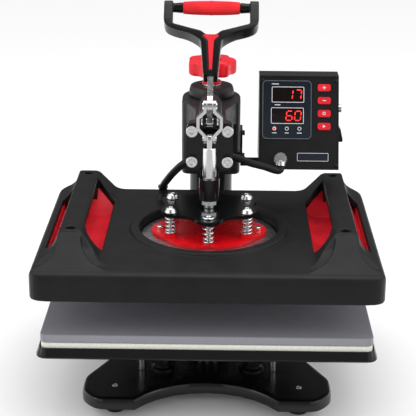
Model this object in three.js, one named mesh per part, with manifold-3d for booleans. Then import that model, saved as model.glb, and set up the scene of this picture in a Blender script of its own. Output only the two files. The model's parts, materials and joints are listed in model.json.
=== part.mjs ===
// Swing-away heat press, 38 x 30 cm platen, standing on its four feet.
// Millimetres, +Z up. X = 0 is the middle plane, Z = 0 the surface that it stands on.
// The origin is under the middle of the object's outline. The lever swings down towards -Y.

import * as THREE from 'three';
import { mergeVertices } from 'three/addons/utils/BufferGeometryUtils.js';
import Module from 'manifold-3d';

const wasm = await Module();
wasm.setup();

// ---------- driving dimensions ----------
const GAP = 0.3; // air left between touching pieces
const RAM_Y = -41; // ram axis, from the origin
const ARM_REACH = 191; // ram axis to column axis
const COLUMN_Y = RAM_Y + ARM_REACH;

// heights above the feet
const FOOT_H = 16.5;
const BASE_TOP = 31;
const TRAY_BOTTOM = 94.5;
const TRAY_RIM = 107;
const FELT_TOP = 113;
const PAD_TOP = 123;
const COVER_BOTTOM = 166;
const COVER_TOP = 199.4;
const BAR_TOP = 225;
const RECESS_FLOOR = 191.6;
const RED_TOP = 195.7;
const SEAT_TOP = 200;
const PLATE_UNDER = 221.5;
const PLATE_TOP = 226;
const SLEEVE_BOTTOM = 219;
const SLEEVE_TOP = 318;
const CAP_TOP = 332;

// platen and pad
const PAD = { w: 380, y0: -150, y1: 150, r: 8 };
const COVER = { w: 402.6, y0: -156, y1: 148, r: 20, wall: 3.5 };
const RING = { inner: 84, outer: 96.6, crest: 202.4 };

// column and pressure screw
const COLUMN_R = 28.4;
const SLEEVE_BORE = 28.9;
const SCREW_R = 6;

// lever linkage: fixed pivot O, crank pivot P, ram pivot S
const PIVOT = { y: 8, z: 332 };
const LEAN = THREE.MathUtils.degToRad(40); // handle leans back when open
const CRANK = { length: 21.5, open: THREE.MathUtils.degToRad(17) };
const LINK = { length: 40.3, thick: 3.6, width: 13 };
const CRANK_Y = PIVOT.y - CRANK.length * Math.sin(CRANK.open);
const CRANK_Z = PIVOT.z + CRANK.length * Math.cos(CRANK.open);
const RAM_PIVOT_Z = CRANK_Z - Math.sqrt(LINK.length ** 2 - CRANK_Y ** 2);
const RAM_R = 8.2;
const PIN_R = 4;
const HOLE_R = PIN_R + GAP;

// handle, measured along the lever from O
const HANDLE = { start: 57.7, grip: 153.8, half: 58.4, wall: 10.7, depth: 23 };

// spring bolts: four at the corners, one in front
const SPRING_SPOTS = [[-46, 33], [46, 33], [-46, -20], [46, -20], [0, -40]];
const SPRING = { r: 5.9, wire: 1.1, turns: 4.5 };
const SHANK_R = 3.5;

// front plate bolts
const PLATE_BOLTS = [[-21.5, 318], [21.5, 318], [-21.5, 279.6], [21.5, 279.6]];
const PLATE = { half: 28.2, y0: 18, y1: 24, z0: 267.5, z1: 327 };

// control box, a wedge with a tilted front
const BOX = { x0: 61, x1: 161, z0: 256.4, z1: 364.7, frontLow: 60, frontTop: 110, back: 135, sheet: 1.6 };
const BOX_TILT = Math.atan2(BOX.frontTop - BOX.frontLow, BOX.z1 - BOX.z0);
const BOX_SLOPE = Math.hypot(BOX.frontTop - BOX.frontLow, BOX.z1 - BOX.z0);
const BOX_W = BOX.x1 - BOX.x0;
const BUTTON = { x: 81.5, w: 16.6, h: 9.2, top: 104, pitch: 16.4 };

const CABLE_R = 4.7;
const GLAND = { x: -61.5, y: 114 }; // strain relief on the cover

// ---------- finishes ----------
const finish = (color, roughness, metalness) => new THREE.MeshStandardMaterial({ color, roughness, metalness });
const glossBlack = finish(0x0b0b0c, 0.2, 0.3);
const castGrey = finish(0x3c3c3d, 0.55, 0.4);
const plasticBlack = finish(0x2a2a2b, 0.6, 0);
const red = finish(0xd81426, 0.3, 0);
const chrome = finish(0xe8e8ea, 0.12, 1);
const steel = finish(0xb9bbbd, 0.35, 1);
const rubber = finish(0x141414, 0.85, 0);
const silicone = finish(0x84848c, 0.8, 0);
const felt = finish(0xdcdccf, 0.95, 0);
const glass = finish(0x10191c, 0.15, 0);

// ---------- closed meshes and booleans ----------
function signedVolume(geometry) {
  const p = geometry.attributes.position;
  const index = geometry.index;
  const a = new THREE.Vector3();
  const b = new THREE.Vector3();
  const c = new THREE.Vector3();
  let sum = 0;
  for (let i = 0; i < index.count; i += 3) {
    a.fromBufferAttribute(p, index.getX(i));
    b.fromBufferAttribute(p, index.getX(i + 1));
    c.fromBufferAttribute(p, index.getX(i + 2));
    sum += a.dot(b.cross(c));
  }
  return sum / 6;
}

// Shares the corner vertices and turns the faces outward.
function closed(geometry) {
  let g = geometry.clone();
  g.deleteAttribute('normal');
  g.deleteAttribute('uv');
  g = mergeVertices(g, 1e-4);
  if (signedVolume(g) < 0) {
    const index = Array.from(g.index.array);
    for (let i = 0; i < index.length; i += 3) {
      [index[i + 1], index[i + 2]] = [index[i + 2], index[i + 1]];
    }
    g.setIndex(index);
  }
  return g;
}

function solid(geometry) {
  const g = closed(geometry);
  const vertProperties = new Float32Array(g.attributes.position.array);
  const triVerts = new Uint32Array(g.index.array);
  return new wasm.Manifold(new wasm.Mesh({ numProp: 3, vertProperties, triVerts }));
}

function geometryOf(manifold) {
  const mesh = manifold.getMesh();
  const g = new THREE.BufferGeometry();
  g.setAttribute('position', new THREE.BufferAttribute(mesh.vertProperties, 3));
  g.setIndex(new THREE.BufferAttribute(mesh.triVerts, 1));
  return g;
}

const join = (...parts) => parts.map((p) => solid(p)).reduce((a, b) => a.add(b));
const cut = (body, ...tools) => tools.reduce((a, t) => a.subtract(solid(t)), body);
const common = (...parts) => parts.map((p) => solid(p)).reduce((a, b) => a.intersect(b));

// ---------- shapes ----------
function block(x0, x1, y0, y1, z0, z1) {
  const g = new THREE.BoxGeometry(x1 - x0, y1 - y0, z1 - z0);
  return g.translate((x0 + x1) / 2, (y0 + y1) / 2, (z0 + z1) / 2);
}

// Rods along each axis, from one end to the other.
function rodZ(r, z0, z1, x = 0, y = 0, sides = 24) {
  const g = new THREE.CylinderGeometry(r, r, z1 - z0, sides).rotateX(Math.PI / 2);
  return g.translate(x, y, (z0 + z1) / 2);
}

function rodX(r, x0, x1, y, z, sides = 24) {
  const g = new THREE.CylinderGeometry(r, r, x1 - x0, sides).rotateZ(Math.PI / 2);
  return g.translate((x0 + x1) / 2, y, z);
}

function rodY(r, y0, y1, x, z, sides = 24) {
  return new THREE.CylinderGeometry(r, r, y1 - y0, sides).translate(x, (y0 + y1) / 2, z);
}

// Turned piece about Z from [radius, height] points.
function turned(points, sides = 32) {
  const profile = points.map(([r, z]) => new THREE.Vector2(r, z));
  return new THREE.LatheGeometry(profile, sides).rotateX(Math.PI / 2);
}

// Outline from [x, y, corner radius] points.
function outline(points) {
  const shape = new THREE.Shape();
  const n = points.length;
  points.forEach(([x, y, r = 0], i) => {
    const before = points[(i + n - 1) % n];
    const after = points[(i + 1) % n];
    const towards = (q) => {
      const length = Math.hypot(q[0] - x, q[1] - y);
      const step = Math.min(r, length / 2) / length;
      return [x + (q[0] - x) * step, y + (q[1] - y) * step];
    };
    const from = towards(before);
    if (i === 0) shape.moveTo(...from);
    else shape.lineTo(...from);
    if (r > 0) shape.quadraticCurveTo(x, y, ...towards(after));
  });
  shape.closePath();
  return shape;
}

const roundedRect = (x0, x1, y0, y1, r) => outline([[x0, y0, r], [x1, y0, r], [x1, y1, r], [x0, y1, r]]);

function prismZ(shape, z0, z1, curveSegments = 4) {
  return new THREE.ExtrudeGeometry(shape, { depth: z1 - z0, bevelEnabled: false, curveSegments }).translate(0, 0, z0);
}

// Prism whose top and bottom edges are bevelled inside the outline.
function bevelledZ(shape, z0, z1, bevel, curveSegments = 4) {
  const options = {
    depth: z1 - z0 - 2 * bevel,
    bevelThickness: bevel,
    bevelSize: bevel,
    bevelOffset: -bevel,
    bevelSegments: 2,
    curveSegments,
  };
  return new THREE.ExtrudeGeometry(shape, options).translate(0, 0, z0 + bevel);
}

// Outline points are [y, z], extruded along X.
function prismX(shape, x0, x1, curveSegments = 4) {
  const g = new THREE.ExtrudeGeometry(shape, { depth: x1 - x0, bevelEnabled: false, curveSegments });
  const turn = new THREE.Matrix4().makeBasis(
    new THREE.Vector3(0, 1, 0),
    new THREE.Vector3(0, 0, 1),
    new THREE.Vector3(1, 0, 0),
  );
  return g.applyMatrix4(turn).translate(x0, 0, 0);
}

// Outline points are [x, z], extruded along Y.
function prismY(shape, y0, y1, curveSegments = 4) {
  const g = new THREE.ExtrudeGeometry(shape, { depth: y1 - y0, bevelEnabled: false, curveSegments });
  return g.rotateX(Math.PI / 2).translate(0, y1, 0);
}

const circle = (u, v, r, sides = 20) => {
  const shape = new THREE.Shape();
  const points = Array.from({ length: sides }, (_, i) => (i / sides) * 2 * Math.PI);
  shape.setFromPoints(points.map((t) => new THREE.Vector2(u + r * Math.cos(t), v + r * Math.sin(t))));
  return shape;
};

const mirrored = (points) => points.map(([x, ...rest]) => [-x, ...rest]).reverse();

function hexZ(across, z0, z1, x = 0, y = 0) {
  return rodZ(across / Math.sqrt(3), z0, z1, x, y, 6);
}

// Tube along a smooth curve through points.
function tube(points, radius, steps, sides = 8) {
  const path = new THREE.CatmullRomCurve3(points.map((p) => new THREE.Vector3(...p)));
  return new THREE.ExtrudeGeometry(circle(0, 0, radius, sides), { steps, bevelEnabled: false, extrudePath: path });
}

// ---------- the scene ----------
const press = new THREE.Group();
press.name = 'heat_press';
const ram = new THREE.Group();
ram.position.y = RAM_Y;
press.add(ram);
const column = new THREE.Group();
column.position.y = COLUMN_Y;
press.add(column);

function place(name, shape, material, parent = ram) {
  const geometry = shape.isBufferGeometry ? closed(shape) : geometryOf(shape);
  const mesh = new THREE.Mesh(geometry, material);
  mesh.name = name;
  parent.add(mesh);
  return mesh;
}

// ---------- base, column and lower tray ----------
// Lobed outline with a hollow arch between the front feet, moved inward by `inset`.
function baseOutline(inset) {
  const archR = 100.9;
  const archCentre = -182.9;
  const archHalf = Math.asin(84 / archR);
  const arch = Array.from({ length: 11 }, (_, i) => {
    const t = archHalf * (i / 5 - 1);
    return [(archR + inset) * Math.sin(t), archCentre + (archR + inset) * Math.cos(t)];
  });
  const side = [
    [92 + inset * 0.6, -127 + inset, 6],
    [131 - inset * 0.4, -127 + inset, 12],
    [149 - inset, -104, 12],
    [149 - inset, -66, 8],
    [98 - inset, 38, 30],
    [98 - inset, 112, 30],
    [124 - inset, 160, 14],
    [124 - inset, 226 - inset * 0.4, 10],
    [112 - inset * 0.4, 238 - inset, 10],
  ];
  return outline([...arch, ...side, ...mirrored(side)]);
}

const FEET = [[-110, -92], [110, -92], [-100, 208], [100, 208]];
const POSTS = [[-54.6, -45], [54.6, -45], [-54.6, 70], [54.6, 70]];

function buildBase() {
  const shell = common(bevelledZ(baseOutline(0), 2, BASE_TOP, 6.5), block(-200, 200, -200, 260, FOOT_H, 40));
  place('base_casting', shell.add(join(...traySupports())), glossBlack);
  FEET.forEach(([x, y], i) => {
    const foot = turned([[0, 0], [11, 0], [12.5, 1.5], [13.5, FOOT_H - GAP], [0, FOOT_H - GAP]], 20);
    place(`foot_${i + 1}`, foot.translate(x, y, 0), rubber);
  });
}

function buildColumn() {
  const z0 = BASE_TOP + GAP;
  const top = SLEEVE_TOP - 13;
  const bore = COLUMN_R - 4;
  const foot = [[bore, z0], [44, z0], [44, z0 + 7], [COLUMN_R + 2, z0 + 9], [COLUMN_R, z0 + 12]];
  const thread = SCREW_R + 0.6;
  const head = [[COLUMN_R, top], [thread, top], [thread, top - 24], [bore, top - 24], [bore, z0]];
  place('rear_column', turned([...foot, ...head], 40), glossBlack, column);
}

// Four posts and a ribbed pedestal, welded to the base.
function traySupports() {
  const z0 = BASE_TOP - 2;
  const z1 = TRAY_BOTTOM - GAP;
  const posts = POSTS.map(([x, y]) => {
    const profile = [[0, z0], [14.5, z0], [14.5, z0 + 5], [10, z0 + 7], [10, z1], [0, z1]];
    return turned(profile, 24).translate(x, y, 0);
  });
  const ribs = [-9.5, 0, 9.5].map((x) => block(x - 2.2, x + 2.2, -52, -40, z0, z1));
  return [...posts, ...ribs, block(-12.5, 12.5, -44, 60, z0, z1)];
}

function buildLevellingStuds() {
  const z0 = BASE_TOP + GAP;
  const z1 = TRAY_BOTTOM - GAP;
  [-80, 80].forEach((x, i) => {
    const nut = hexZ(13, z1 - 12, z1 - 3, x, -48);
    place(`levelling_stud_${i + 1}`, join(rodZ(4, z0, z1, x, -48, 12), nut), chrome);
  });
}

function buildTray() {
  const half = PAD.w / 2;
  const plate = (wall, z0, z1) => {
    const plan = roundedRect(-half - wall, half + wall, PAD.y0 - wall, PAD.y1 + wall, PAD.r + wall);
    return solid(prismZ(plan, z0, z1));
  };
  const flared = wasm.Manifold.hull([
    plate(3.4, TRAY_BOTTOM, TRAY_BOTTOM + 1),
    plate(5.2, TRAY_BOTTOM + 1.5, TRAY_BOTTOM + 3.5),
    plate(1.8, TRAY_RIM - 1, TRAY_RIM),
  ]);
  const inner = roundedRect(-half - GAP, half + GAP, PAD.y0 - GAP, PAD.y1 + GAP, PAD.r);
  place('lower_tray', cut(flared, prismZ(inner, TRAY_BOTTOM + 3, 140)), glossBlack);
  const layer = roundedRect(-half + 0.5, half - 0.5, PAD.y0 + 0.5, PAD.y1 - 0.5, PAD.r);
  place('felt_layer', prismZ(layer, TRAY_BOTTOM + 3 + GAP, FELT_TOP), felt);
  const top = roundedRect(-half, half, PAD.y0, PAD.y1, PAD.r);
  place('silicone_pad', prismZ(top, FELT_TOP + GAP, PAD_TOP), silicone);
}

// ---------- arm, cap and pressure knob ----------
function buildArm() {
  const wall = 38.5;
  const back = Array.from({ length: 13 }, (_, i) => {
    const t = (i / 12) * Math.PI;
    return [wall * Math.cos(t), ARM_REACH + wall * Math.sin(t)];
  });
  const sleeve = outline([[-wall, 152.5, 11], [wall, 152.5, 11], ...back]);
  const plan = [[27.7, 24.3], [27.7, 36], [19, 72], [19, 116], [37, 166]];
  const neck = prismZ(outline([...plan, ...mirrored(plan)]), 289, SLEEVE_TOP);
  const flange = prismY(roundedRect(-27.7, 27.7, 268, 327, 8), 24.3, 35);
  const ridge = [block(-14, 14, 35, 108, 300, 327), rodY(14, 35, 108, 0, 327)];
  const body = join(bevelledZ(sleeve, SLEEVE_BOTTOM, SLEEVE_TOP, 2), neck, flange, ...ridge);
  const bore = rodZ(SLEEVE_BORE, 200, SLEEVE_TOP - 5, 0, ARM_REACH, 40);
  const screwHole = rodZ(SCREW_R + 0.8, 300, 330, 0, ARM_REACH);
  const boltHoles = PLATE_BOLTS.map(([x, z]) => rodY(HOLE_R, 20, 40, x, z, 16));
  place('arm_casting', cut(body, bore, screwHole, ...boltHoles), castGrey);
}

function buildCapAndKnob() {
  const z0 = SLEEVE_TOP + GAP;
  const hole = SCREW_R + 0.8;
  const cap = [[hole, z0], [30, z0], [29.4, z0 + 8], [27, CAP_TOP], [hole, CAP_TOP], [hole, z0]];
  place('column_cap', turned(cap, 40), castGrey, column);
  const washerTop = CAP_TOP + 2.3;
  const washer = [[hole, CAP_TOP + GAP], [13.2, CAP_TOP + GAP], [13.2, washerTop], [hole, washerTop]];
  place('thrust_washer', turned([...washer, [hole, CAP_TOP + GAP]]), chrome, column);

  const hub = washerTop + GAP;
  const rim = 347;
  const lobes = Array.from({ length: 70 }, (_, i) => {
    const t = (i / 70) * 2 * Math.PI;
    const r = 30.2 + 2.4 * Math.cos(7 * t);
    return new THREE.Vector2(r * Math.cos(t), r * Math.sin(t));
  });
  const head = bevelledZ(new THREE.Shape(lobes), rim, rim + 21, 2.4);
  const neck = turned([[0, hub], [12.6, hub], [12.6, hub + 2.5], [8.6, hub + 4], [8.6, rim + 6], [0, rim + 6]]);
  const socket = rodZ(SCREW_R + GAP, hub - 1, rim + 3);
  place('pressure_knob', cut(join(head, neck), socket), red, column);
  place('pressure_screw', rodZ(SCREW_R, 262, rim + 3 - GAP, 0, 0, 16), steel, column);
}

// ---------- front plate, bolts, bush and pivot pin ----------
function buildFrontPlate() {
  const slab = prismY(roundedRect(-PLATE.half, PLATE.half, PLATE.z0, PLATE.z1, 8), PLATE.y0, PLATE.y1);
  const ear = [[18, 313], [24, 313], [24, 331], [13, 340.2], [2.6, 339.8], [-0.6, 328], [6, 322.7]];
  const sides = [[-7.8, -4.2], [4.2, 7.8]];
  const ears = sides.map(([x0, x1]) => prismX(outline(ear), x0, x1));
  const eyes = sides.map(([x0, x1]) => rodX(9.5, x0, x1, PIVOT.y, PIVOT.z));
  const holes = PLATE_BOLTS.map(([x, z]) => rodY(HOLE_R, 10, 30, x, z, 16));
  const body = join(slab, ...ears, ...eyes);
  place('front_plate', cut(body, ...holes, rodX(HOLE_R, -20, 20, PIVOT.y, PIVOT.z)), glossBlack);
}

function buildPlateBolts() {
  PLATE_BOLTS.forEach(([x, z], i) => {
    const head = rodY(7, PLATE.y0 - GAP - 7, PLATE.y0 - GAP, x, z);
    const shank = rodY(PIN_R - 0.1, PLATE.y0 - 1, 33, x, z, 16);
    const socket = new THREE.CylinderGeometry(3.6, 3.6, 8, 6).translate(x, PLATE.y0 - 8, z);
    place(`plate_bolt_${i + 1}`, cut(join(head, shank), socket), chrome);
  });
}

function buildGuideBush() {
  const body = join(rodZ(12.3, 237, 264), block(-11, 11, 0, 24, 237, 264), block(-11, 11, 13, 24, 262, PLATE.z0 - GAP));
  place('guide_bush', cut(body, rodZ(RAM_R + 0.4, 230, 270, 0, 0, 32)), glossBlack);
}

function buildPivotPin() {
  const z = PIVOT.z;
  const heads = [[-10.6, -8.1], [8.1, 10.6]].map(([x0, x1]) => rodX(5.6, x0, x1, PIVOT.y, z));
  place('pivot_pin', join(rodX(PIN_R, -10, 10, PIVOT.y, z), ...heads), chrome);
}

// ---------- lever and handle ----------
// Lever frame: origin at O, Z along the lever, -Y to its front.
const lever = new THREE.Group();
lever.position.set(0, PIVOT.y, PIVOT.z);
lever.rotation.x = -LEAN;
ram.add(lever);
const crankAngle = LEAN + CRANK.open;
const CRANK_LOCAL = { y: -CRANK.length * Math.sin(crankAngle), z: CRANK.length * Math.cos(crankAngle) };

function buildLever() {
  const { y, z } = CRANK_LOCAL;
  const web = outline([[6, -5], [7.5, 2], [7.5, 78], [-7.5, 78], [-7.5, 30], [y - 1, z + 7], [y - 4, z - 6], [-2, -7.8]]);
  const half = 3.25;
  const bar = join(prismX(web, -half, half), rodX(8, -half, half, 0, 0), rodX(7.3, -half, half, y, z));
  const crankPin = solid(rodX(PIN_R, -8.8, 8.8, y, z));
  place('lever_bar', cut(bar, rodX(HOLE_R, -5, 5, 0, 0)).add(crankPin), chrome, lever);
}

// Red strip down the stem, flaring at the fork; `grow` widens it for its recess.
function inlayOutline(grow) {
  const side = [[1.7 + grow, 64 - grow], [3.7 + grow, 104, 4], [9.4 + grow, 109 - grow], [9.4 + grow, 111 + grow]];
  return outline([...side, ...mirrored(side)]);
}

function buildHandle() {
  const { start, grip, half, wall, depth } = HANDLE;
  const inner = half - wall;
  const side = [
    [8.9, start],
    [12.6, 104, 4],
    [26, 113.6, 8],
    [50, 120.2, 10],
    [half, 127, 8],
    [half, grip + 14],
    [inner, grip + 14],
    [inner, 127, 3],
    [11.5, 116.5, 3],
    [6.5, 111.6, 3],
  ];
  const front = prismY(outline([...side, ...mirrored(side)]), -depth / 2, depth / 2);
  const endR = 9;
  const tip = Array.from({ length: 9 }, (_, i) => {
    const t = (i / 8) * Math.PI;
    return [endR * Math.cos(t), grip + endR * Math.sin(t)];
  });
  const d = depth / 2;
  const profile = prismX(outline([[-d, start - 5], [d, start - 5], [d, 127, 20], ...tip, [-d, 127, 20]]), -80, 80);
  const slot = block(-3.6, 3.6, -7.9, 7.9, start - 10, 78.5);
  const recess = prismY(inlayOutline(GAP), -d - 5, -d + 1.3);

  const alongX = (points, sides) => turned(points, sides).rotateY(Math.PI / 2).translate(0, 0, grip);
  const coreR = 4.3;
  const core = [[0, -inner - 2], [5.8, -inner - 2], [5.8, -inner + 1], [6.8, -35.4], [coreR, -35.4]];
  const coreEnd = core.map(([r, x]) => [r, -x]).reverse();
  const rod = solid(alongX([...core, ...coreEnd], 20));
  place('handle_fork', cut(common(front, profile), slot, recess).add(rod), glossBlack, lever);
  place('handle_inlay', prismY(inlayOutline(0), -d - 0.2, -d + 1.3 - GAP), red, lever);

  const skin = [[7.3, -35.1], [8, -30], [8.5, 0], [8, 30], [7.3, 35.1]];
  const tubeWall = coreR + GAP;
  place('grip', alongX([[tubeWall, -35.1], ...skin, [tubeWall, 35.1], [tubeWall, -35.1]], 28), red, lever);
}

// ---------- links and ram ----------
// Link frame: origin at P, hanging along -Z to S.
const links = new THREE.Group();
links.position.set(0, CRANK_Y, CRANK_Z);
links.rotation.x = -Math.asin(CRANK_Y / LINK.length);
ram.add(links);

function buildLink(name, sign) {
  const t = LINK.thick;
  const inside = [[3.8, 9], [3.8, -6.8], [12, -14.5], [12, -26], [3.3, -35.5], [3.3, -48]];
  const outside = inside.map(([x, z], i) => [x + t, z + [0, 1.5, 1.5, -1.5, -1.5, 0][i]]).reverse();
  const bent = prismY(outline([...inside, ...outside]), -8, 8);
  const w = LINK.width / 2;
  const end = -LINK.length;
  const strap = join(prismX(outline([[-w, 0], [-5.3, end], [5.3, end], [w, 0]]), 0, 20), rodX(7.2, 0, 20, 0, 0), rodX(5.5, 0, 20, 0, end));
  const rivet = rodX(3.6, 4.5, 8.4, 0, end, 16);
  const body = cut(solid(bent).intersect(strap).add(solid(rivet)), rodX(HOLE_R, 0, 20, 0, 0));
  const shape = sign > 0 ? body : body.mirror([1, 0, 0]);
  place(name, shape, chrome, links);
}

function buildRam() {
  const shoulder = RAM_PIVOT_Z - 10;
  const rod = turned([
    [0, PLATE_TOP + GAP], [6.3, PLATE_TOP + GAP], [6.3, 237], [RAM_R, 237.5],
    [RAM_R, shoulder - 1], [RAM_R - 1, shoulder], [0, shoulder],
  ], 32);
  const tongue = block(-2.9, 2.9, -6.4, 6.4, shoulder - 2, RAM_PIVOT_Z);
  const eye = rodX(6.4, -2.9, 2.9, 0, RAM_PIVOT_Z);
  place('ram_shaft', join(rod, tongue, eye), chrome);
  place('ram_nut', cut(solid(hexZ(17.6, 230.9, 236.6)), rodZ(6.6, 220, 240)), chrome);
}

// ---------- pressure plate, springs and bolts ----------
function buildPressurePlate() {
  const side = [
    [10, -53.5, 8], [22, -31, 12], [48, -28, 8], [60, -13, 9], [52.5, 8, 10],
    [60, 34, 9], [50, 47, 8], [24, 46, 12], [11, 56, 8],
  ];
  const plan = outline([[0, -58.5, 6], ...side, [0, 58, 6], ...mirrored(side)]);
  const holes = SPRING_SPOTS.map(([x, y]) => rodZ(SHANK_R + 0.6, 210, 240, x, y, 16));
  place('pressure_plate', cut(solid(prismZ(plan, PLATE_UNDER, PLATE_TOP)), ...holes), glossBlack);
}

class Helix extends THREE.Curve {
  constructor(radius, z0, z1, turns) {
    super();
    Object.assign(this, { radius, z0, z1, turns });
  }

  getPoint(t, target = new THREE.Vector3()) {
    const a = 2 * Math.PI * this.turns * t;
    return target.set(this.radius * Math.cos(a), this.radius * Math.sin(a), this.z0 + (this.z1 - this.z0) * t);
  }
}

function buildSprings() {
  const { r, wire, turns } = SPRING;
  SPRING_SPOTS.forEach(([x, y], i) => {
    const seat = i < 4 ? SEAT_TOP : RED_TOP;
    const path = new Helix(r, seat + wire + GAP, PLATE_UNDER - wire - GAP, turns);
    const options = { steps: Math.round(turns * 10), bevelEnabled: false, extrudePath: path };
    const wireShape = circle(0, 0, wire, 5);
    place(`spring_${i + 1}`, new THREE.ExtrudeGeometry(wireShape, options).translate(x, y, 0), chrome);
  });
}

function buildSpringBolts() {
  const z0 = PLATE_TOP + GAP;
  const head = [[7.4, z0], [7.4, z0 + 1.6], [6.2, z0 + 2.4], [5.6, z0 + 5.6], [3.8, z0 + 6.4], [0, z0 + 6.4]];
  const disc = [[7.6, z0], [7.6, z0 + 1.6], [6.6, z0 + 2.4], [3.2, z0 + 2.4], [3, z0 + 1], [0, z0 + 1]];
  SPRING_SPOTS.forEach(([x, y], i) => {
    const low = (i < 4 ? SEAT_TOP : RED_TOP) + GAP;
    const body = turned([[0, low], [SHANK_R, low], [SHANK_R, z0], ...(i < 4 ? head : disc)], 20);
    place(`spring_bolt_${i + 1}`, body.translate(x, y, 0), chrome);
  });
}

// ---------- platen ----------
function buildRedPlate() {
  const side = [
    [14, -53, 8], [38, -46, 10], [52, -25, 10], [66, -12, 8], [72, 6.5, 10],
    [66, 25, 8], [52, 38, 10], [38, 59, 10], [14, 66, 8],
  ];
  const plan = outline([[0, -49.5, 8], ...side, [0, 62.5, 8], ...mirrored(side)]);
  const seats = SPRING_SPOTS.slice(0, 4).map(([x, y]) => rodZ(8, RED_TOP - 1, SEAT_TOP, x, y));
  place('spring_plate', join(prismZ(plan, RECESS_FLOOR + GAP, RED_TOP), ...seats), red);
}

function buildHeater() {
  place('recess_plate', rodZ(RING.inner - 1, 188.3, RECESS_FLOOR, 0, 0, 48), steel);
  const plate = roundedRect(-190, 190, -149, 141, 10);
  place('heating_plate', bevelledZ(plate, COVER_BOTTOM, 178.7, 1.5), steel);
}

// Half of the cover's cross profile: flat middle, handle bar, sloping shoulder.
function coverProfile() {
  const half = COVER.w / 2;
  const side = [
    [half, COVER_BOTTOM], [half, 193, 4], [198, 199.2, 3], [182.5, 206, 6], [176.5, 212, 5], [173, BAR_TOP, 3],
    [147.5, BAR_TOP, 5], [133, 210, 12], [124, COVER_TOP + 1.5, 8], [112, COVER_TOP],
  ];
  return outline([...side, ...mirrored(side)]);
}

// Side view of a bar behind its front horn: it fades out before the front edge.
function barSweep() {
  return outline([
    [-128, COVER_BOTTOM + 20], [COVER.y1, COVER_BOTTOM + 20], [COVER.y1, 230], [-78, 230], [-82, BAR_TOP, 4],
    [-102, 207, 10], [-128, COVER_TOP],
  ]);
}

// Side view of the horn that carries a bar down to the front face.
function hornSweep() {
  return outline([
    [COVER.y0, 180], [-70, 180], [-70, BAR_TOP], [-78, BAR_TOP, 8], [-128, 207.5, 16], [-146, COVER_TOP, 10],
    [COVER.y0, 188],
  ]);
}

// Plan of a horn, as wide as the bar behind and spreading like a trumpet to the front.
const HORN = [
  [147.5, -72], [146.2, -98, 14], [139, -120, 14], [129, -134, 12], [114, -143, 4], [110, COVER.y0],
  [196, COVER.y0], [196, -141, 3], [188, -137.5, 8], [178.5, -126, 12], [174.2, -106, 14], [173.5, -72],
];

// Side view of the flat cover, with a rounded front edge.
function slabSweep() {
  return outline([
    [COVER.y0, COVER_BOTTOM], [COVER.y1, COVER_BOTTOM], [COVER.y1, COVER_TOP, 3], [COVER.y0, COVER_TOP, 12],
  ]);
}

// Plan of the two finger openings beside a bar, and the passage under it.
const INNER_WINDOW = [[123.5, -83.5], [131, -83.5, 4], [141, -74, 8], [147, -44, 8], [147, 121], [123.5, 95]];
const OUTER_WINDOW = [[176, 111], [176, -46, 8], [180, -78, 6], [188.5, -85], [188.5, 88], [181, 102, 4]];
const UNDER_BAR = { x0: 140, x1: 182, y0: -44, y1: 104, top: 213 };

function buildCover() {
  const half = COVER.w / 2;
  const plan = prismZ(roundedRect(-half, half, COVER.y0, COVER.y1, COVER.r), 150, 240, 5);
  const profile = prismY(coverProfile(), -170, 160);
  const slab = common(profile, prismX(slabSweep(), -220, 220), plan);
  const bars = common(profile, prismX(barSweep(), -220, 220), plan);
  const horns = [HORN, mirrored(HORN)].map((points) => {
    return common(prismZ(outline(points), 180, 230), prismX(hornSweep(), -220, 220), plan);
  });
  const outer = [bars, ...horns].reduce((a, b) => a.add(b), slab);
  const w = COVER.wall;
  const hollow = roundedRect(-half + w, half - w, COVER.y0 + w, COVER.y1 - w, COVER.r - w);
  const rim = turned([
    [RING.inner, 190], [RING.outer, 190], [RING.outer, COVER_TOP + 0.6], [RING.outer - 2.4, RING.crest],
    [RING.inner + 1, RING.crest], [RING.inner, RING.crest - 1], [RING.inner, 190],
  ], 56);
  const z0 = COVER_TOP - 1;
  const strainRelief = turned([[0, z0], [9, z0], [9, z0 + 4], [6.4, z0 + 6], [5.4, z0 + 16], [0, z0 + 16]], 20);
  const extras = join(rim, strainRelief.translate(GLAND.x, GLAND.y, 0));
  const body = outer.subtract(solid(prismZ(hollow, 150, COVER_TOP - w))).add(extras);
  const tools = [rodZ(RING.inner, 150, 240, 0, 0, 56)];
  [1, -1].forEach((s) => {
    [INNER_WINDOW, OUTER_WINDOW].forEach((points) => {
      tools.push(prismZ(outline(s > 0 ? points : mirrored(points)), 150, 240));
    });
    const xs = [s * UNDER_BAR.x0, s * UNDER_BAR.x1].sort((a, b) => a - b);
    tools.push(block(...xs, UNDER_BAR.y0, UNDER_BAR.y1, 150, UNDER_BAR.top));
  });
  place('platen_cover', cut(body, ...tools), plasticBlack);
}

// Rear end of a trough: it ramps up inside the openings, clear of their walls.
const RAMP = [[85.8, 182], [119.9, 182], [119.9, 211], [97, 194.5, 12]];
const RAMP_ROOM = [
  [[124, 60], [146.5, 60], [146.5, 119.8], [124, 94.9]],
  [[140.5, 60], [181.5, 60], [181.5, 103.5], [140.5, 103.5]],
  [[176.5, 60], [188, 60], [188, 87.5], [180.6, 101.2], [176.5, 108.6]],
];

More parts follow.
